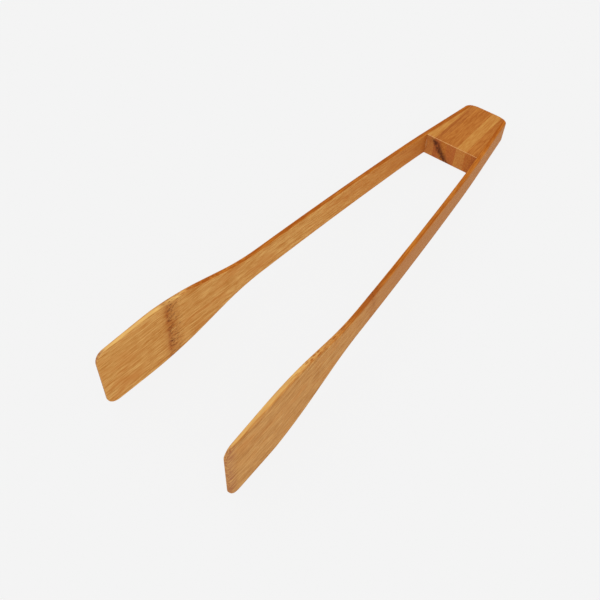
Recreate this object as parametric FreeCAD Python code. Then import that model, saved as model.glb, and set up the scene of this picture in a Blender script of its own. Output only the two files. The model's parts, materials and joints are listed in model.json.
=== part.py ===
import FreeCAD, Part
import os
from math import asin, atan2, cos, degrees, radians, sin, tan

# Bamboo tongs: two bent slats glued to the sides of a laminated spacer block.
# Millimetres. The solids are made in the tongs' own frame (mid-plane at z = 0,
# blade tips at y = 0, block end at +y) and then laid down on the ground, z = 0.

# Whole object
overall_length = 300.5

# Block, laminated from upright strips glued side by side
block_length = 47.5
strip_widths = [5.8, 4.2, 4.4, 6.4, 6.4, 4.0, 3.6]   # left to right, at the front
back_bow_radius = 43.0                               # bulge of the back end, seen from above
back_flat = 0.02                                     # sanded off the top of that bulge
block_corner_radius = 4.0                            # outer corners, seen from above
back_edge_radius = 1.0                               # back edges, seen from the side

# Arms, seen from above; a lean is the angle between the arm and the y axis
arm_thickness = 3.0
tip_thickness = 1.8
tip_lean = 3.1              # straight, tapering end of the blade
handle_lean = 6.0
glued_lean = 7.7
root_bend_radius = 780.0    # quicker bend just in front of the block
bow_radius = 3865.0         # long gentle bow of the handle and blade

# Arms and block, seen from the side; half heights at stations along y
upper_tip_half_height = 19.9
lower_tip_half_height = 20.6
tip_setback = 1.7           # the blade's lower corner lies this far behind the upper one
upper_tip_radius = 6.0
lower_tip_radius = 7.0
shoulder_station = 46.7
shoulder_half_height = 20.75
shoulder_radius = 147.0
neck_station = 94.7
neck_half_height = 8.7
neck_radius = 115.0
back_half_height = 6.65

# Flex pivot of each arm: a rounded nose in a socket
pivot_reach = 38.0          # from the block's front face
socket_clearance = 0.08

reach = 60.0                # cutting tools run this far past the solids
block_front = overall_length - block_length
block_front_half_width = sum(strip_widths) / 2

TIP, HANDLE, GLUED = radians(tip_lean), radians(handle_lean), radians(glued_lean)


def heading(lean):
    """Unit vector along the right arm, towards the block."""
    return FreeCAD.Vector(-sin(lean), cos(lean), 0)


def outward(lean):
    """Unit vector square to the right arm, away from the other arm."""
    return FreeCAD.Vector(cos(lean), sin(lean), 0)


def at_station(point, lean, y):
    """The point at height y of the straight line through a point of the arm."""
    return point + heading(lean) * ((y - point.y) / cos(lean))


def prism(edges, direction):
    """Solid swept from a closed flat outline."""
    wire = Part.Wire(Part.__sortEdges__(edges))
    return Part.Face(wire).extrude(direction)


def line(start, end):
    return Part.LineSegment(start, end).toShape()


def arc(start, middle, end):
    return Part.Arc(start, middle, end).toShape()


def round_corner(before, corner, after, radius):
    """Start, middle, end and centre of the arc that rounds a corner."""
    to_before = (before - corner).normalize()
    to_after = (after - corner).normalize()
    half_angle = to_before.getAngle(to_after) / 2
    setback = radius / tan(half_angle)
    bisector = (to_before + to_after).normalize()
    centre = corner + bisector * (radius / sin(half_angle))
    return corner + to_before * setback, centre - bisector * radius, corner + to_after * setback, centre


def bend(centre, radius, lean_a, lean_b):
    """Arc of an arm's face between two leans."""
    points = [centre + outward(a) * radius for a in (lean_a, (lean_a + lean_b) / 2, lean_b)]
    return arc(*points)


def side_profile():
    """Outline of the whole object seen from the side, and the rounding of each of its corners."""
    corners = {
        "upper tip": (0.0, upper_tip_half_height, upper_tip_radius),
        "upper shoulder": (shoulder_station, shoulder_half_height, shoulder_radius),
        "upper neck": (neck_station, neck_half_height, neck_radius),
        "upper back": (overall_length, back_half_height, back_edge_radius),
        "lower back": (overall_length, -back_half_height, back_edge_radius),
        "lower neck": (neck_station, -neck_half_height, neck_radius),
        "lower shoulder": (shoulder_station, -shoulder_half_height, shoulder_radius),
        "lower tip": (tip_setback, -lower_tip_half_height, lower_tip_radius)}
    names = list(corners)
    points = [FreeCAD.Vector(-reach, y, z) for y, z, radius in corners.values()]
    rounds = {}
    for i, name in enumerate(names):
        radius = corners[name][-1]
        rounds[name] = round_corner(points[i - 1], points[i], points[(i + 1) % len(points)], radius)
    edges = []
    for i, name in enumerate(names):
        start, middle, end, centre = rounds[name]
        next_start = rounds[names[(i + 1) % len(names)]][0]
        edges.append(arc(start, middle, end))
        edges.append(line(end, next_start))
    return edges, rounds


# Centre line of the right arm, from the block to the tip
front_corner = FreeCAD.Vector(block_front_half_width, block_front, 0)
line_at_block = front_corner + outward(GLUED) * (arm_thickness / 2)
root_centre = line_at_block - outward(GLUED) * root_bend_radius
line_at_bend = root_centre + outward(HANDLE) * root_bend_radius
bow_centre = line_at_bend - outward(HANDLE) * bow_radius
line_at_grip = bow_centre + outward(TIP) * bow_radius
root_bend_length = root_bend_radius * (GLUED - HANDLE)
PIVOT = HANDLE - (pivot_reach - root_bend_length) / bow_radius
pivot = bow_centre + outward(PIVOT) * bow_radius


def moving_arm_outline():
    """Right arm from the tip to the round nose at the flex pivot, seen from above."""
    half = arm_thickness / 2
    inner_radius = bow_radius - half
    outer_radius = bow_radius + half
    inner_grip = line_at_grip - outward(TIP) * half
    outer_grip = line_at_grip + outward(TIP) * half
    inner_tip = at_station(inner_grip, TIP, 0)
    outer_tip = inner_tip + FreeCAD.Vector(tip_thickness, 0, 0)
    inner_nose = pivot - outward(PIVOT) * half
    outer_nose = pivot + outward(PIVOT) * half
    return [line(inner_tip, inner_grip),
            bend(bow_centre, inner_radius, TIP, PIVOT),
            arc(inner_nose, pivot + heading(PIVOT) * half, outer_nose),
            bend(bow_centre, outer_radius, PIVOT, TIP),
            line(outer_grip, outer_tip),
            line(outer_tip, inner_tip)]


def arm_root_outline():
    """Right arm from the socket at the flex pivot to the block's back end, seen from above."""
    half = arm_thickness / 2
    socket_radius = half + socket_clearance
    horn = (socket_radius ** 2 - half ** 2) ** 0.5
    lip = PIVOT + horn / bow_radius
    inner_lip = bow_centre + outward(lip) * (bow_radius - half)
    outer_lip = bow_centre + outward(lip) * (bow_radius + half)
    inner_block = line_at_block - outward(GLUED) * half
    outer_block = line_at_block + outward(GLUED) * half
    inner_end = at_station(inner_block, GLUED, overall_length)
    outer_end = at_station(outer_block, GLUED, overall_length)
    return [arc(inner_lip, pivot + heading(PIVOT) * socket_radius, outer_lip),
            bend(bow_centre, bow_radius - half, lip, HANDLE),
            bend(root_centre, root_bend_radius - half, HANDLE, GLUED),
            line(inner_block, inner_end),
            line(inner_end, outer_end),
            line(outer_end, outer_block),
            bend(root_centre, root_bend_radius + half, GLUED, HANDLE),
            bend(bow_centre, bow_radius + half, HANDLE, lip)]


def upright(edges):
    """Prism through the whole height of the object, from an outline at z = 0."""
    solid = prism(edges, FreeCAD.Vector(0, 0, 2 * reach))
    solid.translate(FreeCAD.Vector(0, 0, -reach))
    return solid


def mirrored(solid):
    return solid.mirror(FreeCAD.Vector(0, 0, 0), FreeCAD.Vector(1, 0, 0))


def mirror_point(point):
    return FreeCAD.Vector(-point.x, point.y, point.z)


def sanded_outline():
    """Everything inside the back end's bulge and rounded corners, seen from above."""
    radius = block_corner_radius
    apex = FreeCAD.Vector(0, overall_length + back_flat, 0)
    bulge_centre = apex - FreeCAD.Vector(0, back_bow_radius, 0)
    # The corner's centre is one radius inside both the arm's outer face and the bulge
    outer_block = line_at_block + outward(GLUED) * (arm_thickness / 2)
    start = outer_block - outward(GLUED) * radius
    offset = start - bulge_centre
    ahead = offset.dot(heading(GLUED))
    run = (ahead ** 2 - offset.dot(offset) + (back_bow_radius - radius) ** 2) ** 0.5 - ahead
    centre = start + heading(GLUED) * run
    to_bulge = (centre - bulge_centre).normalize()
    between = (to_bulge + outward(GLUED)).normalize()
    on_side = centre + outward(GLUED) * radius
    middle = centre + between * radius
    on_bulge = centre + to_bulge * radius
    far_side = FreeCAD.Vector(2 * reach, on_side.y, 0)
    far_tip = FreeCAD.Vector(2 * reach, -reach, 0)
    edges = [arc(on_bulge, apex, mirror_point(on_bulge)), line(far_tip, mirror_point(far_tip))]
    for side in (FreeCAD.Vector, mirror_point):
        edges += [arc(side(on_side), side(middle), side(on_bulge)),
                  line(side(on_side), side(far_side)),
                  line(side(far_side), side(far_tip))]
    return upright(edges)


def between_glue_faces():
    """The tapering space between the two arms, where the block sits."""
    inner_block = line_at_block - outward(GLUED) * (arm_thickness / 2)
    inner_end = at_station(inner_block, GLUED, overall_length)
    corners = [inner_block, inner_end, mirror_point(inner_end), mirror_point(inner_block)]
    return upright([line(corners[i - 1], corners[i]) for i in range(4)])


def strip(left, right):
    """One upright strip of the block, before it is cut to the glue faces."""
    size = FreeCAD.Vector(right - left, block_length, 2 * reach)
    return Part.makeBox(size.x, size.y, size.z, FreeCAD.Vector(left, block_front, -reach))


def build():
    """All the nodes in the tongs' own frame, and the angle that lays them down."""
    profile_edges, rounds = side_profile()
    profile = prism(profile_edges, FreeCAD.Vector(2 * reach, 0, 0))
    sanded = sanded_outline()
    block = between_glue_faces().common(profile).common(sanded)

    nodes = {}
    right_arm = upright(moving_arm_outline()).common(profile)
    right_root = upright(arm_root_outline()).common(profile).common(sanded)
    nodes["right_arm"] = right_arm
    nodes["left_arm"] = mirrored(right_arm)
    nodes["right_arm_root"] = right_root
    nodes["left_arm_root"] = mirrored(right_root)
    left = -block_front_half_width
    for number, width in enumerate(strip_widths, start=1):
        nodes["block_strip_%d" % number] = strip(left, left + width).common(block)
        left += width

    # The tongs rest on the blades' lower edges and on the block's lower back edge:
    # both are arcs, and the ground is the line that touches the two from below.
    blade_centre = rounds["lower shoulder"][-1]
    back_centre = rounds["lower back"][-1]
    across = back_centre - blade_centre
    spread = (across.y ** 2 + across.z ** 2) ** 0.5
    tilt = atan2(across.z, across.y) - asin((back_edge_radius - shoulder_radius) / spread)
    return nodes, tilt


def lay_down(nodes, tilt):
    """Turn the solids onto the ground and put the origin under the middle of their box."""
    origin = FreeCAD.Vector(0, 0, 0)
    across = FreeCAD.Vector(1, 0, 0)
    for solid in nodes.values():
        solid.rotate(origin, across, -degrees(tilt))
    box = Part.makeCompound(list(nodes.values())).optimalBoundingBox(False, False)
    shift = FreeCAD.Vector(-box.Center.x, -box.Center.y, -box.ZMin)
    for solid in nodes.values():
        solid.translate(shift)
    turn = FreeCAD.Rotation(across, -degrees(tilt))
    print("size", box.XLength, box.YLength, box.ZLength, "tilt", degrees(tilt), "shift", tuple(shift))
    print("right hinge at", tuple(turn.multVec(pivot) + shift))
    print("axis", tuple(turn.multVec(FreeCAD.Vector(0, 0, 1))))


def main():
    os.makedirs("parts", exist_ok=True)
    nodes, tilt = build()
    lay_down(nodes, tilt)
    for name, solid in nodes.items():
        print(name, round(solid.Volume, 2), solid.isValid())
        solid.exportStep("parts/%s.step" % name)


main()
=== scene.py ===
"""Bamboo tongs: two bent slats glued to the sides of a laminated spacer block.

The pieces are made in the tongs' own frame, where the mid-plane is z = 0, the blade tips are
at y = 0 and the block is at +y. Each finished mesh is then laid down into the CAD frame.
Lengths are in metres, angles in radians.
"""

import json
from math import atan2, cos, radians, sin, sqrt, tan

import bpy
from bpy.props import FloatProperty, FloatVectorProperty, PointerProperty
from mathutils import Matrix, Vector


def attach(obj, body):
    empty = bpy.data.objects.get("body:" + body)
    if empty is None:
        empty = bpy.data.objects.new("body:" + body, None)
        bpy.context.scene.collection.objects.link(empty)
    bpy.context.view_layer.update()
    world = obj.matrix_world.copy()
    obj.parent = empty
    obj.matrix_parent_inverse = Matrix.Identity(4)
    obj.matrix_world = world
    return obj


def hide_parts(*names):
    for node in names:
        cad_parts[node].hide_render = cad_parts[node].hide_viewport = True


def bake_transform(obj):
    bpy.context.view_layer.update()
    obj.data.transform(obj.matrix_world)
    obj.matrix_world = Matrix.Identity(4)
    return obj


bl_info = {
    "name": "Bamboo Tongs",
    "version": (1, 0, 0),
    "blender": (4, 5, 0),
    "location": "View3D > Sidebar > Tongs",
    "description": "Builds a pair of bamboo tongs around its CAD frame",
    "category": "Object",
}

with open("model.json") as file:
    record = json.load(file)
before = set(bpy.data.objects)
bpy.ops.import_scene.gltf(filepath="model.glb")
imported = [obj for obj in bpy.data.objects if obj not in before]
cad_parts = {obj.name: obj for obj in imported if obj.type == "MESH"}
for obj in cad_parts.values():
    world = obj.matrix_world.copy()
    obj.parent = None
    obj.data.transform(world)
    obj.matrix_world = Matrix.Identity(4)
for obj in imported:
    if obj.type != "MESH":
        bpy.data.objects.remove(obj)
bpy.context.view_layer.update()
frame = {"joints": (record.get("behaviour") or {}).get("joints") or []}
MM = 0.001


# ---------------------------------------------------------------- sizes and colours


def length(name, description, default):
    return FloatProperty(name=name, description=description, default=default, unit="LENGTH", precision=5)


def angle(name, description, default):
    return FloatProperty(name=name, description=description, default=radians(default), unit="ROTATION",
                         subtype="ANGLE")


def colour(name, description, default):
    return FloatVectorProperty(name=name, description=description, default=default, subtype="COLOR",
                               size=3, min=0.0, max=1.0)


class TongsSizes(bpy.types.PropertyGroup):
    """Sizes of the arms and of the block."""

    overall_length: length("Overall length", "From the blade tips to the block's back end", 300.5 * MM)
    block_length: length("Block length", "Length of the spacer block", 47.5 * MM)
    block_width: length("Block width", "Width of the block's front face", 34.8 * MM)
    back_bow: length("Back bow radius", "Bulge of the back end, seen from above", 43 * MM)
    back_flat: length("Back flat", "Sanded off the top of that bulge", 0.02 * MM)
    block_corner: length("Block corner radius", "Outer back corners, seen from above", 4 * MM)
    back_edge: length("Back edge radius", "Back edges, seen from the side", 1 * MM)
    arm_thickness: length("Arm thickness", "Thickness of each slat", 3 * MM)
    tip_thickness: length("Tip thickness", "Thickness of the slat at the blade's tip", 1.8 * MM)
    tip_lean: angle("Tip lean", "Lean of the blade's straight end", 3.1)
    handle_lean: angle("Handle lean", "Lean of the handle where the root bend starts", 6.0)
    glued_lean: angle("Glued lean", "Lean of the stretch that is glued to the block", 7.7)
    root_bend_radius: length("Root bend radius", "Bend in front of the block", 780 * MM)
    bow_radius: length("Bow radius", "Long bow of handle and blade", 3865 * MM)
    pivot_reach: length("Pivot reach", "From the block's front to the flex pivot, along the arm", 38 * MM)
    upper_tip_half_height: length("Upper tip half height", "From the mid-line up, at the tip", 19.9 * MM)
    lower_tip_half_height: length("Lower tip half height", "From the mid-line down, at the tip", 20.6 * MM)
    tip_setback: length("Tip setback", "The lower tip corner lies this far behind the upper one", 1.7 * MM)
    upper_tip_radius: length("Upper tip radius", "Upper corner of the blade's tip", 6 * MM)
    lower_tip_radius: length("Lower tip radius", "Lower corner of the blade's tip", 7 * MM)
    shoulder_station: length("Shoulder station", "Where the blade is widest", 46.7 * MM)
    shoulder_half_height: length("Shoulder half height", "Half the blade's width there", 20.75 * MM)
    shoulder_radius: length("Shoulder radius", "Rounding between blade and flare", 147 * MM)
    neck_station: length("Neck station", "Where the flare meets the handle", 94.7 * MM)
    neck_half_height: length("Neck half height", "Half the handle's width there", 8.7 * MM)
    neck_radius: length("Neck radius", "Rounding between flare and handle", 115 * MM)
    back_half_height: length("Back half height", "Half the width at the back end", 6.65 * MM)
    outer_edge: length("Outer edge radius", "Sanded edges of each arm's outer face", 0.7 * MM)
    inner_edge: length("Inner edge radius", "Sanded edges of each arm's inner face", 0.35 * MM)
    tip_bevel_length: length("Tip bevel length", "Sanded end of the outer face, along the arm", 3.2 * MM)
    tip_bevel_depth: length("Tip bevel depth", "Sanded end of the outer face, through the arm", 1.0 * MM)
    strip_edge: length("Strip edge radius", "Hairline rounding along the glue lines", 0.06 * MM)
    block_front_edge: length("Block front edge", "Eased edges of the block's front face", 0.35 * MM)


class TongsColours(bpy.types.PropertyGroup):
    """Colours of the bamboo and of the studio."""

    arm_light: colour("Arm light", "Light tone of the arms", (0.73, 0.415, 0.130))
    arm_dark: colour("Arm dark", "Dark tone of the arms", (0.49, 0.190, 0.034))
    # Reddish patches, and also the painted shade on the arms' inner faces beside the block.
    arm_amber_and_block_shade: colour("Arm amber", "Reddish patches, and the arms beside the block", (0.50, 0.155, 0.022))
    edge_light: colour("Edge light", "Light tone of the arms' cut edges", (0.58, 0.195, 0.024))
    edge_dark: colour("Edge dark", "Dark tone of the arms' cut edges", (0.38, 0.088, 0.007))
    # Partly the edges' own paler tone near the tip, partly a painted highlight along those edges.
    edge_pale_and_highlight: colour("Edge pale", "The cut edges towards the blade's tip", (0.86, 0.52, 0.16))
    rind_light: colour("Rind light", "Light tone of the arms' outer faces", (0.64, 0.340, 0.112))
    rind_dark: colour("Rind dark", "Dark tone of the arms' outer faces", (0.43, 0.178, 0.044))
    rind_far: colour("Rind far", "The outer faces towards the block", (0.43, 0.170, 0.062))
    end_tone: colour("End tone", "Sanded end of the blade, where the fibres are cut", (0.36, 0.130, 0.050))
    pale_light: colour("Pale strip light", "Light tone of pale strips", (0.63, 0.300, 0.070))
    pale_dark: colour("Pale strip dark", "Dark tone of pale strips", (0.51, 0.188, 0.034))
    brown_light: colour("Brown strip light", "Light tone of brown strips", (0.57, 0.216, 0.042))
    brown_dark: colour("Brown strip dark", "Dark tone of brown strips", (0.41, 0.118, 0.017))
    dark_light: colour("Dark strip light", "Light tone of the dark strip", (0.53, 0.190, 0.036))
    dark_dark: colour("Dark strip dark", "Dark tone of the dark strip", (0.37, 0.102, 0.017))
    front_tone: colour("Front tone", "Cut fibres on the block's front face", (0.42, 0.106, 0.036))
    # Node scar colour; it also paints the shade in the corners where the arms meet the block.
    node_scar_and_corner_shade_tone: colour("Node tone", "Scar left by the culm's node", (0.36, 0.088, 0.013))
    pore_tone: colour("Pore tone", "Open pores beside the node", (0.15, 0.036, 0.008))
    stain_tone: colour("Stain tone", "Dark stain on the block's front", (0.085, 0.022, 0.010))
    # Painted highlight: the pale line on the block's eased top front edge stands in for the glint there.
    front_edge_highlight_tone: colour("Painted highlight tone", "Pale line along the block's eased front edge", (0.78, 0.43, 0.16))
    glue_tone: colour("Glue tone", "Dried wood glue", (0.62, 0.36, 0.16))
    floor_tone: colour("Floor tone", "Pale studio floor", (1.0, 1.0, 1.0))


# ---------------------------------------------------------------- values in a node tree


class Field:
    """A value in a node tree that takes arithmetic like a number."""

    def __init__(self, tree, socket):
        self.tree = tree
        self.socket = socket

    def math(self, operation, *others, clamp=False):
        node = self.tree.nodes.new("ShaderNodeMath")
        node.operation = operation
        node.use_clamp = clamp
        for socket, value in zip(node.inputs, (self, *others)):
            join(self.tree, value, socket)
        return Field(self.tree, node.outputs[0])

    def __add__(self, other):
        return self.math("ADD", other)

    def __sub__(self, other):
        return self.math("SUBTRACT", other)

    def __mul__(self, other):
        return self.math("MULTIPLY", other)

    def __truediv__(self, other):
        return self.math("DIVIDE", other)

    def less(self, other):
        return self.math("LESS_THAN", other)

    def least(self, other):
        return self.math("MINIMUM", other)

    def most(self, other):
        return self.math("MAXIMUM", other)

    def clamped(self):
        """This value, kept between 0 and 1."""
        return self.math("ADD", 0.0, clamp=True)

    def root(self):
        return self.most(0.0).math("SQRT")

    def size(self):
        """This value without its sign."""
        return self.math("ABSOLUTE")

    def sine(self):
        return self.math("SINE")

    def cosine(self):
        return self.math("COSINE")

    def tangent(self):
        return self.math("TANGENT")

    def share(self, low, high):
        """0 below low, 1 above high, and a straight line between them."""
        return ((self - low) / (as_field(self.tree, high) - low)).clamped()

    def mix(self, first, second):
        """First where this value is 0, second where it is 1."""
        return as_field(self.tree, first) + (as_field(self.tree, second) - first) * self


def as_field(tree, value):
    """A number as a node, so that it can stand on the left of an operation."""
    if isinstance(value, Field):
        return value
    node = tree.nodes.new("ShaderNodeValue")
    node.outputs[0].default_value = value
    return Field(tree, node.outputs[0])


def join(tree, value, socket):
    """Links a field to a socket, or sets the socket to a number."""
    if isinstance(value, Field):
        tree.links.new(value.socket, socket)
    else:
        socket.default_value = value


def add(tree, kind, outputs=0, settings=None, **inputs):
    """Adds a node, sets it up, joins its named inputs, and returns an output as a field."""
    node = tree.nodes.new(kind)
    for key, value in (settings or {}).items():
        setattr(node, key, value)
    for name, value in inputs.items():
        join(tree, value, node.inputs[name.replace("_", " ")])
    return Field(tree, node.outputs[outputs])


def vector(tree, x, y, z):
    return add(tree, "ShaderNodeCombineXYZ", X=x, Y=y, Z=z)


# ---------------------------------------------------------------- geometry nodes


def new_tree(name, inputs):
    """An empty geometry tree with named inputs; returns the tree and its inputs as fields."""
    tree = bpy.data.node_groups.new(name, "GeometryNodeTree")
    tree.interface.new_socket("Geometry", in_out="OUTPUT", socket_type="NodeSocketGeometry")
    for label, value in inputs.items():
        kind = "NodeSocketMaterial" if isinstance(value, bpy.types.Material) else "NodeSocketFloat"
        tree.interface.new_socket(label, in_out="INPUT", socket_type=kind)
    source = tree.nodes.new("NodeGroupInput")
    fields = {label: Field(tree, source.outputs[label]) for label in inputs}
    return tree, fields


def rise(y, starts, slopes):
    """How far a line of straights and arcs has risen at y.

    starts holds where each arc begins and ends, and slopes the angle of each straight. Along
    an arc the sine of its angle grows evenly with y, which is what makes it an arc.
    """
    total = y.least(starts[0][0]) * slopes[0].tangent()
    for number, (begin, end) in enumerate(starts):
        before, after = slopes[number], slopes[number + 1]
        growth = (after.sine() - before.sine()) / (end - begin)
        here = before.sine() + growth * (y.most(begin).least(end) - begin)
        level = ((here * here - 1.0) * -1.0).root()
        total = total + (before.cosine() - level) / growth
        straight = y.most(end) - end
        if number + 1 < len(starts):
            straight = y.most(end).least(starts[number + 1][0]) - end
        total = total + straight * after.tangent()
    return total


def rounding(distance, radius):
    """How much a quarter round of that radius takes off, at a distance from the end."""
    radius = as_field(distance.tree, radius)
    left = (radius - distance).most(0.0)
    return radius - (radius * radius - left * left).root()


def loft(tree, material, stations, sections, place):
    """A closed bar of rounded rectangles.

    stations is the number of sections and sections is (along 0..1 -> y). place gets y and
    returns a dictionary: low and high x, top and bottom z, low and high edge radius, slant
    (how far y shifts per unit below "slant from"), and the grain's origin and thickness.
    """
    quarter = 12                # points along a quarter of a section
    grid = add(tree, "GeometryNodeMeshGrid", Size_X=1.0, Size_Y=1.0)
    grid_node = grid.socket.node
    grid_node.inputs["Vertices X"].default_value = stations
    grid_node.inputs["Vertices Y"].default_value = 4 * quarter + 1
    spot = tree.nodes.new("GeometryNodeInputPosition")
    split = add(tree, "ShaderNodeSeparateXYZ", Vector=Field(tree, spot.outputs[0]))
    u = split + 0.5
    v = Field(tree, split.socket.node.outputs[1]) + 0.5

    # Station 0 and the last station close the ends: they repeat their neighbour's y.
    count = u * (stations - 1)
    along = ((count - 1.0) / (stations - 3)).clamped()
    open_section = as_field(tree, 0.5).less(count) * count.less(stations - 1.5)
    y = sections(along)
    here = place(y)

    # Which quarter of the section a point is in, and how far it is from the broad face's middle
    turn = v * 4.0
    w = turn.math("PINGPONG", 1.0)
    to_high = turn.math("ADD", 1.0).math("MODULO", 4.0).less(2.0)
    to_top = turn.less(2.0)
    side = to_high.mix(-1.0, 1.0)
    face_end, edge_start = 6.0 / quarter, 10.0 / quarter
    width = (here["high"] - here["low"]).most(0.0)
    reach = to_top.mix(here["bottom"] * -1.0, here["top"])
    edge = to_high.mix(here["low edge"], here["high edge"]).least(width * 0.49).least(reach * 0.49)
    bend = w.share(face_end, edge_start) * radians(90)
    climb = (w.share(0.0, face_end) * radians(90)).sine()
    across = (width * 0.5 - edge) * w.share(edge_start, 1.0).mix(1.0, 0.0) + edge * bend.cosine()
    x = (here["low"] + here["high"]) * 0.5 + across * side * open_section
    z = ((reach - edge) * climb + edge * bend.sine()) * to_top.mix(-1.0, 1.0)
    y = y + here["slant"] * (here["slant from"] - z)
    skin = ((x - here["grain"]) / here["thickness"]).clamped()

    # Both are stored while the grid is still flat, because x, y and z read its positions.
    grain = add(tree, "GeometryNodeStoreNamedAttribute",
                settings={"data_type": "FLOAT_VECTOR", "domain": "POINT"},
                Geometry=grid, Name="grain", Value=vector(tree, x - here["grain"], y, z))
    stored = add(tree, "GeometryNodeStoreNamedAttribute",
                 settings={"data_type": "FLOAT", "domain": "POINT"},
                 Geometry=grain, Name="skin", Value=skin)
    moved = add(tree, "GeometryNodeSetPosition", Geometry=stored, Position=vector(tree, x, y, z))
    merged = add(tree, "GeometryNodeMergeByDistance", Geometry=moved, Distance=2e-6)
    finish_tree(tree, merged, material)


def finish_tree(tree, geometry, material):
    """Smooth shading between gentle edges, then Realize Instances and Set Material."""
    edge_angle = add(tree, "GeometryNodeInputMeshEdgeAngle")
    gentle = edge_angle.less(radians(32))
    smooth = add(tree, "GeometryNodeSetShadeSmooth", settings={"domain": "EDGE"},
                 Geometry=geometry, Shade_Smooth=gentle)
    real = add(tree, "GeometryNodeRealizeInstances", Geometry=smooth)
    done = add(tree, "GeometryNodeSetMaterial", Geometry=real, Material=material)
    sink = tree.nodes.new("NodeGroupOutput")
    tree.links.new(done.socket, sink.inputs[0])


def grow(name, tree, inputs, matrix):
    """Runs a tree on an empty object and returns the result as a plain mesh in the CAD frame."""
    blank = bpy.data.meshes.new(name + "_seed")
    seed = bpy.data.objects.new(name + "_seed", blank)
    bpy.context.scene.collection.objects.link(seed)
    modifier = seed.modifiers.new("Grow", "NODES")
    modifier.node_group = tree
    for item in tree.interface.items_tree:
        if item.in_out == "INPUT":
            modifier[item.identifier] = inputs[item.name]
    depsgraph = bpy.context.evaluated_depsgraph_get()
    mesh = bpy.data.meshes.new_from_object(seed.evaluated_get(depsgraph), preserve_all_data_layers=True,
                                           depsgraph=depsgraph)
    bpy.data.objects.remove(seed)
    bpy.data.meshes.remove(blank)
    if len(mesh.polygons) == 0:
        raise RuntimeError("The tree %s made no faces" % tree.name)
    mesh.name = name
    mesh.transform(matrix)
    piece = bpy.data.objects.new(name, mesh)
    bpy.context.scene.collection.objects.link(piece)
    return piece


# ---------------------------------------------------------------- outlines worked out from the sizes


def plan_of(sizes):
    """Stations and half gaps of an arm's inner face, seen from above."""
    half = sizes.arm_thickness / 2
    root_radius = sizes.root_bend_radius - half
    bow_radius = sizes.bow_radius - half
    tip, handle, glued = sizes.tip_lean, sizes.handle_lean, sizes.glued_lean
    block_front = sizes.overall_length - sizes.block_length
    bow_end = block_front - root_radius * (sin(glued) - sin(handle))
    grip_end = bow_end - bow_radius * (sin(handle) - sin(tip))
    tip_gap = sizes.block_width / 2 + root_radius * (cos(handle) - cos(glued))
    tip_gap += bow_radius * (cos(tip) - cos(handle)) + grip_end * tan(tip)
    root_bend = sizes.root_bend_radius * (glued - handle)
    pivot_lean = handle - (sizes.pivot_reach - root_bend) / sizes.bow_radius
    pivot_station = bow_end - bow_radius * sin(handle) + sizes.bow_radius * sin(pivot_lean)
    return {"Block Front": block_front, "Bow End": bow_end, "Grip End": grip_end,
            "Tip Half Gap": tip_gap, "Pivot Station": pivot_station}


def side_of(sizes, edge, tip):
    """Slopes and arc stations of one edge of the side outline; tip is its corner at the tip."""
    points = [tip, (sizes.shoulder_station, sizes.shoulder_half_height),
              (sizes.neck_station, sizes.neck_half_height), (sizes.overall_length, sizes.back_half_height)]
    slopes = [atan2(b[1] - a[1], b[0] - a[0]) for a, b in zip(points, points[1:])]
    made = {edge + " Tip Height": tip[1] - tip[0] * tan(slopes[0]),
            edge + " Blade Slope": slopes[0], edge + " Flare Slope": slopes[1],
            edge + " Handle Slope": slopes[2]}
    for name, corner, radius, before, after in (
            (" Shoulder", points[1], sizes.shoulder_radius, slopes[0], slopes[1]),
            (" Neck", points[2], sizes.neck_radius, slopes[1], slopes[2])):
        setback = radius * tan(abs(after - before) / 2)
        made[edge + name + " Start"] = corner[0] - setback * cos(before)
        made[edge + name + " End"] = corner[0] + setback * cos(after)
    return made


def back_of(sizes):
    """Where the back end's bulge and rounded corners lie, seen from above."""
    radius, lean = sizes.block_corner, sizes.glued_lean
    bulge = sizes.overall_length + sizes.back_flat - sizes.back_bow
    heading = Vector((-sin(lean), cos(lean)))
    outward = Vector((cos(lean), sin(lean)))
    front = Vector((sizes.block_width / 2, sizes.overall_length - sizes.block_length))
    start = front + outward * (sizes.arm_thickness - radius)
    offset = start - Vector((0, bulge))
    ahead = offset.dot(heading)
    run = sqrt(ahead ** 2 - offset.dot(offset) + (sizes.back_bow - radius) ** 2) - ahead
    centre = start + heading * run
    on_bulge = centre + (centre - Vector((0, bulge))).normalized() * radius
    return {"Corner X": centre.x, "Corner Y": centre.y, "Corner Start": centre.y + radius * outward.y,
            "Bulge Start": on_bulge.y, "Bulge Centre": bulge, "Bulge Radius": sizes.back_bow,
            "Corner Radius": radius}


def run_out(sizes, x=None):
    """The station where a line of that x leaves the block, or else where the glue face does."""
    back = back_of(sizes)
    front = sizes.overall_length - sizes.block_length
    low, high = front, sizes.overall_length
    for _ in range(40):
        y = (low + high) / 2
        glue_face = sizes.block_width / 2 - (y - front) * tan(sizes.glued_lean)
        outline = sizes.block_width
        if y > back["Bulge Start"]:
            outline = sqrt(back["Bulge Radius"] ** 2 - (y - back["Bulge Centre"]) ** 2)
        elif y > back["Corner Start"]:
            outline = back["Corner X"] + sqrt(back["Corner Radius"] ** 2 - (y - back["Corner Y"]) ** 2)
        inside = outline > glue_face if x is None else min(outline, glue_face) > x
        low, high = (y, high) if inside else (low, y)
    return low


def laid_down(sizes):
    """The matrix from the tongs' own frame to the CAD frame, taken from the right arm's hinge."""
    hinge = next(j for j in frame["joints"] if j["name"] == "right_arm_flex")
    up = -Vector(hinge["axis"])
    tilt = atan2(up.y, up.z)
    turn = Matrix.Rotation(-tilt, 4, "X")
    pivot = Vector((0, plan_of(sizes)["Pivot Station"], 0))
    place = Vector((0, hinge["pos_m"][1], hinge["pos_m"][2]))
    return Matrix.Translation(place - turn @ pivot) @ turn


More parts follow.
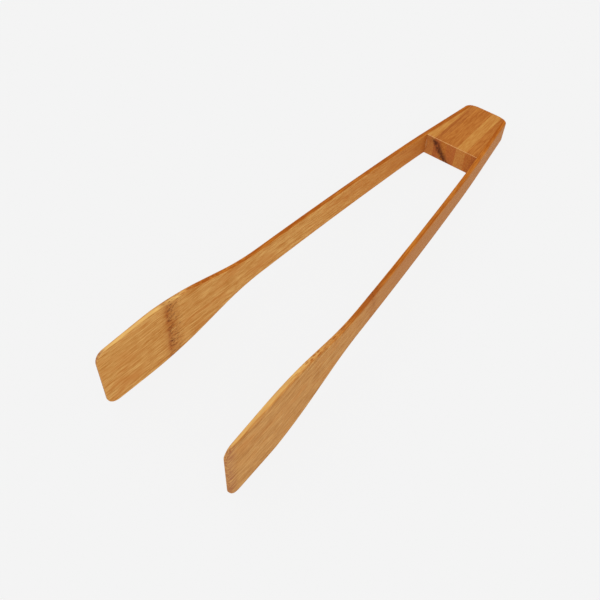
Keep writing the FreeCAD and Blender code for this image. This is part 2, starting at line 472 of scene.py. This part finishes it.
def outline_inputs(sizes):
    """Named inputs that both the arms and the block's strips need."""
    inputs = side_of(sizes, "Upper", (0.0, sizes.upper_tip_half_height))
    inputs.update(side_of(sizes, "Lower", (sizes.tip_setback, sizes.lower_tip_half_height)))
    inputs.update(back_of(sizes))
    inputs.update({
        "Block Front": sizes.overall_length - sizes.block_length, "Length": sizes.overall_length,
        "Glued Lean": sizes.glued_lean, "Back Edge Radius": sizes.back_edge})
    return inputs


def edge_height(y, given, edge):
    """How far the upper or lower edge is from the mid-line at y."""
    arcs = [(given[edge + " Shoulder Start"], given[edge + " Shoulder End"]),
            (given[edge + " Neck Start"], given[edge + " Neck End"])]
    slopes = [given[edge + name] for name in (" Blade Slope", " Flare Slope", " Handle Slope")]
    height = given[edge + " Tip Height"] + rise(y, arcs, slopes)
    return height - rounding(given["Length"] - y, given["Back Edge Radius"])


def sanded_outline(y, given):
    """The half width that the rounded corners and the bulge leave at y; large in front of them."""
    radius, bulge_radius = given["Corner Radius"], given["Bulge Radius"]
    past_corner, past_bulge = y - given["Corner Y"], y - given["Bulge Centre"]
    corner = given["Corner X"] + (radius * radius - past_corner * past_corner).root()
    bulge = (bulge_radius * bulge_radius - past_bulge * past_bulge).root()
    in_front = y.less(given["Corner Start"])
    return y.less(given["Bulge Start"]).mix(bulge, corner) + in_front


# ---------------------------------------------------------------- materials


def stored(tree, name, output="Fac"):
    """An attribute that the piece's mesh carries."""
    source = tree.nodes.new("ShaderNodeAttribute")
    source.attribute_name = name
    return Field(tree, source.outputs[output])


def grain_of(tree):
    """The piece's grain coordinates in millimetres: through it, along its fibres, across it."""
    split = add(tree, "ShaderNodeSeparateXYZ", Vector=stored(tree, "grain", "Vector"))
    node = split.socket.node
    return [Field(tree, node.outputs[i]) * 1000.0 for i in range(3)]


def noise(tree, x, y, z, detail, roughness=0.6):
    return add(tree, "ShaderNodeTexNoise", Vector=vector(tree, x, y, z), Scale=1.0, Detail=detail,
               Roughness=roughness)


def cells(tree, x, y, z):
    return add(tree, "ShaderNodeTexVoronoi", Vector=vector(tree, x, y, z), Scale=1.0)


def tint(tree, factor, first, second):
    """A mix of two colours: first where the factor is 0, second where it is 1."""
    node = tree.nodes.new("ShaderNodeMix")
    node.data_type = "RGBA"
    join(tree, factor, node.inputs["Factor"])
    for socket, value in ((node.inputs[6], first), (node.inputs[7], second)):
        if isinstance(value, Field):
            tree.links.new(value.socket, socket)
        else:
            socket.default_value = (*value, 1.0)
    return Field(tree, node.outputs[2])


class Bamboo:
    """Oiled bamboo: fibre streaks, fibre bundles that show as dots on cut faces, and its marks."""

    def __init__(self, name, seed):
        self.material = bpy.data.materials.new(name)
        self.material.use_nodes = True
        self.tree = self.material.node_tree
        self.through, self.along, self.across = grain_of(self.tree)
        tree, through, along, across = self.tree, self.through, self.along, self.across

        patches = noise(tree, through / 6.0 + seed, along / 24.0, across / 8.0, 3.0)
        bands = noise(tree, through / 1.3 + seed * 2.0, along / 50.0, across / 1.3, 2.0)
        fine = noise(tree, through / 0.5 + seed * 3.0, along / 8.0, across / 0.5, 3.0, 0.65)
        self.patches = patches.share(0.48, 0.68)
        self.fine = fine
        self.tone = (patches * 0.4 + bands * 0.7 + fine * 1.4).share(1.06, 1.44)
        dots = cells(tree, through / 1.0 + seed, along / 60.0, across / 1.0)
        self.bundle = dots.share(0.48, 0.25)
        self.bump = bands * 0.6 - self.bundle * 0.4

    def between(self, light, dark):
        """A colour that wanders between two tones with the grain."""
        return tint(self.tree, self.tone, dark, light)

    def speckle(self, base, strength, deep):
        return tint(self.tree, self.bundle * strength, base, deep)

    def node_scar(self, base, station, strength, scar_tone, pore_tone):
        """The dark line of a culm's node, with open pores on its block side."""
        tree, through, along, across = self.tree, self.through, self.along, self.across
        wander = noise(tree, through * 0.1, 3.0, across * 0.30, 2.0) - 0.5
        past = along - wander * 4.5 - station / MM
        blotch = noise(tree, through * 0.3, along * 0.25, across * 0.4, 4.0).share(0.30, 0.60)
        smudge = past.share(-3.5, 0.8) * past.share(9.0, 1.0) * blotch.mix(0.4, 1.0)
        line = past.share(-1.2, 0.0) * past.share(1.6, 0.2)
        pores = cells(tree, through / 0.75, along / 2.2, across / 0.8).share(0.50, 0.20)
        zone = past.share(-0.4, 0.8) * past.share(11.0, 3.0) * blotch.mix(0.45, 1.0)
        mark = (smudge * 0.6 + line * 0.15).clamped()
        base = tint(tree, mark * strength, base, scar_tone)
        return tint(tree, pores * zone * strength, base, pore_tone)

    def finish(self, base):
        shader = self.tree.nodes["Principled BSDF"]
        self.tree.links.new(base.socket, shader.inputs["Base Color"])
        rough = self.fine * 0.2 + 0.55
        self.tree.links.new(rough.socket, shader.inputs["Roughness"])
        bump = add(self.tree, "ShaderNodeBump", Height=self.bump, Strength=0.15, Distance=0.00004)
        self.tree.links.new(bump.socket, shader.inputs["Normal"])
        shader.inputs["Specular IOR Level"].default_value = 0.03
        return self.material


def arm_bamboo(side, colours):
    """An arm's finish: inner face with painted shade towards the block, cut edges and greyer outer face.
    """
    wood = Bamboo("%s arm bamboo" % side.capitalize(), {"left": 3.0, "right": 34.0}[side])
    tree, along, station = wood.tree, wood.along, ARM_NODE_STATIONS[side]
    skin = stored(tree, "skin")
    face = wood.between(colours.arm_light, colours.arm_dark)
    face = tint(tree, wood.patches * 0.55, face, colours.arm_amber_and_block_shade)
    # Painted shade: the inner face gets darker and redder towards the block, where the block and the other
    # arm shade it.
    face = tint(tree, along.share(150.0, 250.0) * 0.8, face, colours.arm_amber_and_block_shade)
    # Painted shade: darker patches towards the block and a dark line in the corner where the arm meets the
    # block's front.
    corner = wood.patches * along.share(195.0, 240.0) * 0.45 + along.share(248.0, 252.6) * 0.35
    face = tint(tree, corner, face, colours.node_scar_and_corner_shade_tone)
    edge = wood.between(colours.edge_light, colours.edge_dark)
    # Towards the tip the cut edges turn paler; part of that paleness is a painted highlight along the
    # edge.
    pale_end_and_highlight = wood.between(colours.edge_pale_and_highlight, colours.arm_light)
    pale_and_highlight_share = along.share({"left": 62.0, "right": 105.0}[side], 50.0) * skin.share(1.0, 0.6)
    edge = tint(tree, pale_and_highlight_share * {"left": 1.0, "right": 0.8}[side], edge, pale_end_and_highlight)
    edge = wood.speckle(edge, along.share(42.0, 58.0) * 0.85, colours.edge_dark)
    flush = (along - station / MM).size().share(22.0, 6.0)
    edge = tint(tree, flush * {"left": 0.0, "right": 0.7}[side], edge, colours.node_scar_and_corner_shade_tone)
    rind = wood.between(colours.rind_light, colours.rind_dark)
    rind = tint(tree, wood.patches * 0.4, rind, colours.arm_amber_and_block_shade)
    rind = tint(tree, along.share(80.0, 150.0) * 0.7, rind, colours.rind_far)
    end = wood.speckle(wood.between(colours.rind_light, colours.end_tone), 0.8, colours.end_tone)
    base = tint(tree, skin.share(0.03, 0.16), face, edge)
    base = tint(tree, skin.share(0.80, 0.97), base, rind)
    base = tint(tree, along.share(7.5, 3.0) * skin.share(0.03, 0.2), base, end)
    faint_outside = skin.share(0.75, 0.95).mix(1.0, 0.4)
    base = wood.node_scar(
        base, station, faint_outside, colours.node_scar_and_corner_shade_tone, colours.pore_tone)
    return wood.finish(base)


def strip_bamboo(number, finish, shade, left, front, colours):
    """A block strip's finish: its darker front, the stain, a painted highlight along the eased front edge,
    and dried glue.
    """
    wood = Bamboo("Block strip %d" % number, 17.0 * number + 3.0)
    light, dark = getattr(colours, finish + "_light"), getattr(colours, finish + "_dark")
    base = wood.speckle(wood.between(light, dark), 0.35, dark)
    tree, along, across = wood.tree, wood.along - front / MM, wood.across
    place = wood.through + left / MM
    front_face = along.share(0.9, 0.2)
    streak = noise(tree, place * 0.8, along * 0.2, across * 0.12, 3.0).share(0.35, 0.6)
    base = tint(tree, front_face * streak.mix(0.5, 1.0) * shade, base, colours.front_tone)
    drift = noise(tree, place * 0.5, along * 0.2, across * 0.35, 3.0)
    lean = (place - (across * -0.78 - 7.5) + (drift - 0.5) * 5.0).size()
    stain = lean.share(5.5, 1.0) * 0.35 + lean.share(3.2, 1.0) * drift.share(0.32, 0.52) * 0.55
    base = tint(tree, stain * front_face * across.share(6.8, 4.6), base, colours.stain_tone)
    glue = place.share(-16.5, -17.1) * across.share(-3.5, -1.0) * across.share(4.0, 2.0)
    base = tint(tree, glue * front_face * 0.5, base, colours.glue_tone)
    # Painted highlight: a pale line along the eased top front edge, in place of the glint there.
    painted_edge_highlight = along.share(0.36, 0.2) * across.share(6.72, 6.9) * wood.fine.share(0.3, 0.6)
    base = tint(tree, painted_edge_highlight, base, colours.front_edge_highlight_tone)
    return wood.finish(base)


# ---------------------------------------------------------------- the pieces


ARM_NODE_STATIONS = {"left": 42 * MM, "right": 118 * MM}
ARM_STATIONS = 320
STRIP_STATIONS = 64


def arm_tree(inputs):
    """The rule of a bent slat: its plan, its side outline, its taper and its rounded edges."""
    tree, given = new_tree("Bent Slat", inputs)
    end = given["Slat End"]

    def sections(along):
        return end * (along * radians(180)).cosine().mix(0.5, 0.0)

    def place(y):
        inner = given["Tip Half Gap"] - rise(
            y, [(given["Grip End"], given["Bow End"]), (given["Bow End"], given["Block Front"])],
            [given["Tip Lean"], given["Handle Lean"], given["Glued Lean"]])
        thick = y.share(0.0, given["Grip End"]).mix(given["Tip Thickness"], given["Arm Thickness"])
        square = y.share(given["Grip End"], given["Block Front"]).mix(
            given["Tip Lean"].cosine(), given["Glued Lean"].cosine())
        depth = given["Tip Bevel Depth"]
        bevel = rounding(y * depth / given["Tip Bevel Length"], depth)
        skin = inner + thick / square
        glued = y.share(given["Block Front"] - 0.001, given["Block Front"])
        return {
            "low": inner + rounding(y, given["Inner Edge Radius"]),
            "high": (skin - bevel).least(sanded_outline(y, given)),
            "top": edge_height(y, given, "Upper") - rounding(y, given["Upper Tip Radius"]),
            "bottom": (edge_height(y, given, "Lower") - rounding(y, given["Lower Tip Radius"])) * -1.0,
            "low edge": given["Inner Edge Radius"] * glued.mix(1.0, 0.15),
            "high edge": given["Outer Edge Radius"],
            "slant": y.share(0.0, given["Upper Shoulder Start"]).mix(given["Tip Slant"], 0.0),
            "slant from": given["Upper Tip Height"],
            "grain": inner,
            "thickness": thick / square}

    loft(tree, given["Material"], ARM_STATIONS, sections, place)
    return tree


class TONGS_OT_arms(bpy.types.Operator):
    """Build the two arms, each one bent bamboo slat"""

    bl_idname = "tongs.arms"
    bl_label = "Arms"
    bl_options = {"REGISTER", "UNDO"}

    def execute(self, context):
        sizes, colours = context.scene.tongs_sizes, context.scene.tongs_colours
        matrix = laid_down(sizes)
        plan = plan_of(sizes)
        slat_end = run_out(sizes)
        tip_width = sizes.upper_tip_half_height + sizes.lower_tip_half_height
        end = matrix @ Vector((0, 2 * plan["Pivot Station"] - plan["Block Front"], 0))
        tree = None
        for side in ("left", "right"):
            material = arm_bamboo(side, colours)
            inputs = outline_inputs(sizes)
            inputs.update({
                "Tip Half Gap": plan["Tip Half Gap"], "Grip End": plan["Grip End"],
                "Bow End": plan["Bow End"], "Slat End": slat_end,
                "Tip Lean": sizes.tip_lean, "Handle Lean": sizes.handle_lean,
                "Arm Thickness": sizes.arm_thickness, "Tip Thickness": sizes.tip_thickness,
                "Tip Bevel Length": sizes.tip_bevel_length, "Tip Bevel Depth": sizes.tip_bevel_depth,
                "Tip Slant": sizes.tip_setback / tip_width,
                "Upper Tip Radius": sizes.upper_tip_radius, "Lower Tip Radius": sizes.lower_tip_radius,
                "Outer Edge Radius": sizes.outer_edge, "Inner Edge Radius": sizes.inner_edge,
                "Material": material})
            tree = tree or arm_tree(inputs)
            mirror = Matrix.Scale(-1 if side == "left" else 1, 4, Vector((1, 0, 0)))
            arm = grow("%s_arm_slat" % side, tree, inputs, matrix @ mirror)
            if side == "left":
                arm.data.flip_normals()
            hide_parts("%s_arm" % side, "%s_arm_root" % side)
            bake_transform(arm)
        return {"FINISHED"}


STRIPS = (  # width in millimetres from left to right, finish, and how reddish the front face is
    (5.8, "pale", 0.5), (4.2, "dark", 0.6), (4.4, "brown", 0.1), (6.4, "brown", 0.5),
    (6.4, "pale", 0.3), (4.0, "brown", 0.3), (3.6, "brown", 0.4))


def strip_tree(inputs):
    """The rule of one strip of the block, cut to the slanted glue faces and the sanded corners."""
    tree, given = new_tree("Block Strip", inputs)
    front = given["Block Front"]

    def sections(along):
        return front + (given["Strip End"] - front) * (along * radians(180)).cosine().mix(0.5, 0.0)

    def place(y):
        glue_face = given["Block Half Width"] - (y - front) * given["Glued Lean"].tangent()
        reach = glue_face.least(sanded_outline(y, given))
        low = given["Left Side"].most(reach * -1.0)
        eased = rounding(y - front, given["Front Edge Radius"])
        return {
            "low": low,
            "high": given["Right Side"].least(reach).most(low),
            "top": edge_height(y, given, "Upper") - eased,
            "bottom": eased - edge_height(y, given, "Lower"),
            "low edge": given["Strip Edge Radius"],
            "high edge": given["Strip Edge Radius"],
            "slant": as_field(tree, 0.0),
            "slant from": as_field(tree, 0.0),
            "grain": given["Left Side"],
            "thickness": given["Right Side"] - given["Left Side"]}

    loft(tree, given["Material"], STRIP_STATIONS, sections, place)
    return tree


class TONGS_OT_block(bpy.types.Operator):
    """Build the spacer block from its seven glued strips"""

    bl_idname = "tongs.block"
    bl_label = "Block"
    bl_options = {"REGISTER", "UNDO"}

    def execute(self, context):
        sizes, colours = context.scene.tongs_sizes, context.scene.tongs_colours
        matrix = laid_down(sizes)
        tree = None
        left = -sizes.block_width / 2
        for number, (width, finish, shade) in enumerate(STRIPS, start=1):
            right = left + width * MM
            inputs = outline_inputs(sizes)
            material = strip_bamboo(number, finish, shade, left, inputs["Block Front"], colours)
            nearest = min(abs(left), abs(right)) if left * right > 0 else 0.0
            strip_end = run_out(sizes, nearest)
            inputs.update({
                "Left Side": left, "Right Side": right, "Strip End": strip_end,
                "Block Half Width": sizes.block_width / 2, "Strip Edge Radius": sizes.strip_edge,
                "Front Edge Radius": sizes.block_front_edge, "Material": material})
            tree = tree or strip_tree(inputs)
            node = "block_strip_%d" % number
            piece = grow(node.replace("strip", "lamella"), tree, inputs, matrix)
            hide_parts(node)
            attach(piece, "block")
            left = right
        return {"FINISHED"}


class TONGS_OT_stage(bpy.types.Operator):
    """Build the pale floor, the soft studio light and the camera"""

    bl_idname = "tongs.stage"
    bl_label = "Stage"
    bl_options = {"REGISTER", "UNDO"}

    def execute(self, context):
        make_floor(context)
        make_lights(context)
        make_camera(context)
        return {"FINISHED"}


FLOOR_HALF = 4.0
STUDIO_WHITE = 0.905       # the light that reaches the camera from floor and sky alike
FLOOR_DIFFUSE = 0.03       # so little of it is reflected that shadows stay faint
LIGHT_WIDTH = 1.2


def make_floor(context):
    corners = [(x * FLOOR_HALF, y * FLOOR_HALF, 0.0) for x, y in ((-1, -1), (1, -1), (1, 1), (-1, 1))]
    mesh = bpy.data.meshes.new("studio_floor")
    mesh.from_pydata(corners, [], [(0, 1, 2, 3)])
    floor = bpy.data.objects.new("studio_floor", mesh)
    context.scene.collection.objects.link(floor)
    tone = context.scene.tongs_colours.floor_tone
    reflected = [FLOOR_DIFFUSE * c for c in tone]
    material = bpy.data.materials.new("Studio floor")
    material.use_nodes = True
    shader = material.node_tree.nodes["Principled BSDF"]
    shader.inputs["Base Color"].default_value = (*reflected, 1.0)
    shader.inputs["Roughness"].default_value = 0.9
    shader.inputs["Specular IOR Level"].default_value = 0.0
    shader.inputs["Emission Color"].default_value = (*tone, 1.0)
    shader.inputs["Emission Strength"].default_value = STUDIO_WHITE - FLOOR_DIFFUSE
    mesh.materials.append(material)


def make_lights(context):
    world = bpy.data.worlds.new("Studio sky")
    context.scene.world = world
    world.use_nodes = True
    sky = world.node_tree.nodes["Background"]
    sky.inputs["Color"].default_value = (1.0, 1.0, 1.0, 1.0)
    sky.inputs["Strength"].default_value = STUDIO_WHITE
    for name, place, power in (
            ("key_light", (0.9, -0.9, 1.3), 3.0),
            ("fill_light", (-1.1, 0.2, 1.1), 1.0)):
        light = bpy.data.lights.new(name, "AREA")
        light.shape = "DISK"
        light.size = LIGHT_WIDTH
        light.energy = power
        lamp = bpy.data.objects.new(name, light)
        lamp.location = place
        lamp.rotation_euler = (-Vector(place)).to_track_quat("-Z", "Y").to_euler()
        context.scene.collection.objects.link(lamp)


def make_camera(context):
    """The camera looks down at the tongs over the right blade."""
    azimuth, elevation, roll = radians(36.70), radians(51.64), radians(1.39)
    target = Vector((-0.98, -47.38, 12.0)) * MM
    distance = 411.6 * MM
    back = Vector((sin(azimuth) * cos(elevation), -cos(azimuth) * cos(elevation), sin(elevation)))
    data = bpy.data.cameras.new("camera")
    data.lens = 47.42
    data.sensor_width = 36.0
    data.clip_start, data.clip_end = 0.01, 50.0
    camera = bpy.data.objects.new("camera", data)
    camera.location = target + back * distance
    aim = (-back).to_track_quat("-Z", "Y").to_matrix()
    camera.rotation_euler = (aim @ Matrix.Rotation(roll, 3, "Z")).to_euler()
    context.scene.collection.objects.link(camera)
    context.scene.camera = camera
    context.scene.view_settings.view_transform = "Standard"


class TONGS_PT_panel(bpy.types.Panel):
    """Lists the tongs' operators and sizes in the sidebar"""

    bl_idname = "TONGS_PT_panel"
    bl_label = "Bamboo Tongs"
    bl_space_type = "VIEW_3D"
    bl_region_type = "UI"
    bl_category = "Tongs"

    def draw(self, context):
        for operator in OPERATORS:
            self.layout.operator(operator.bl_idname)
        for group in (context.scene.tongs_sizes, context.scene.tongs_colours):
            box = self.layout.box()
            for name in group.bl_rna.properties.keys():
                if name not in {"rna_type", "name"}:
                    box.prop(group, name)


OPERATORS = (TONGS_OT_arms, TONGS_OT_block, TONGS_OT_stage)
GROUPS = (TongsSizes, TongsColours)


def register():
    for cls in (*GROUPS, *OPERATORS, TONGS_PT_panel):
        bpy.utils.register_class(cls)
    bpy.types.Scene.tongs_sizes = PointerProperty(type=TongsSizes)
    bpy.types.Scene.tongs_colours = PointerProperty(type=TongsColours)


def unregister():
    del bpy.types.Scene.tongs_colours
    del bpy.types.Scene.tongs_sizes
    for cls in (TONGS_PT_panel, *OPERATORS[::-1], *GROUPS[::-1]):
        bpy.utils.unregister_class(cls)


def main():
    register()
    bpy.ops.tongs.arms()
    bpy.ops.tongs.block()
    bpy.ops.tongs.stage()


if __name__ == "__main__":
    main()
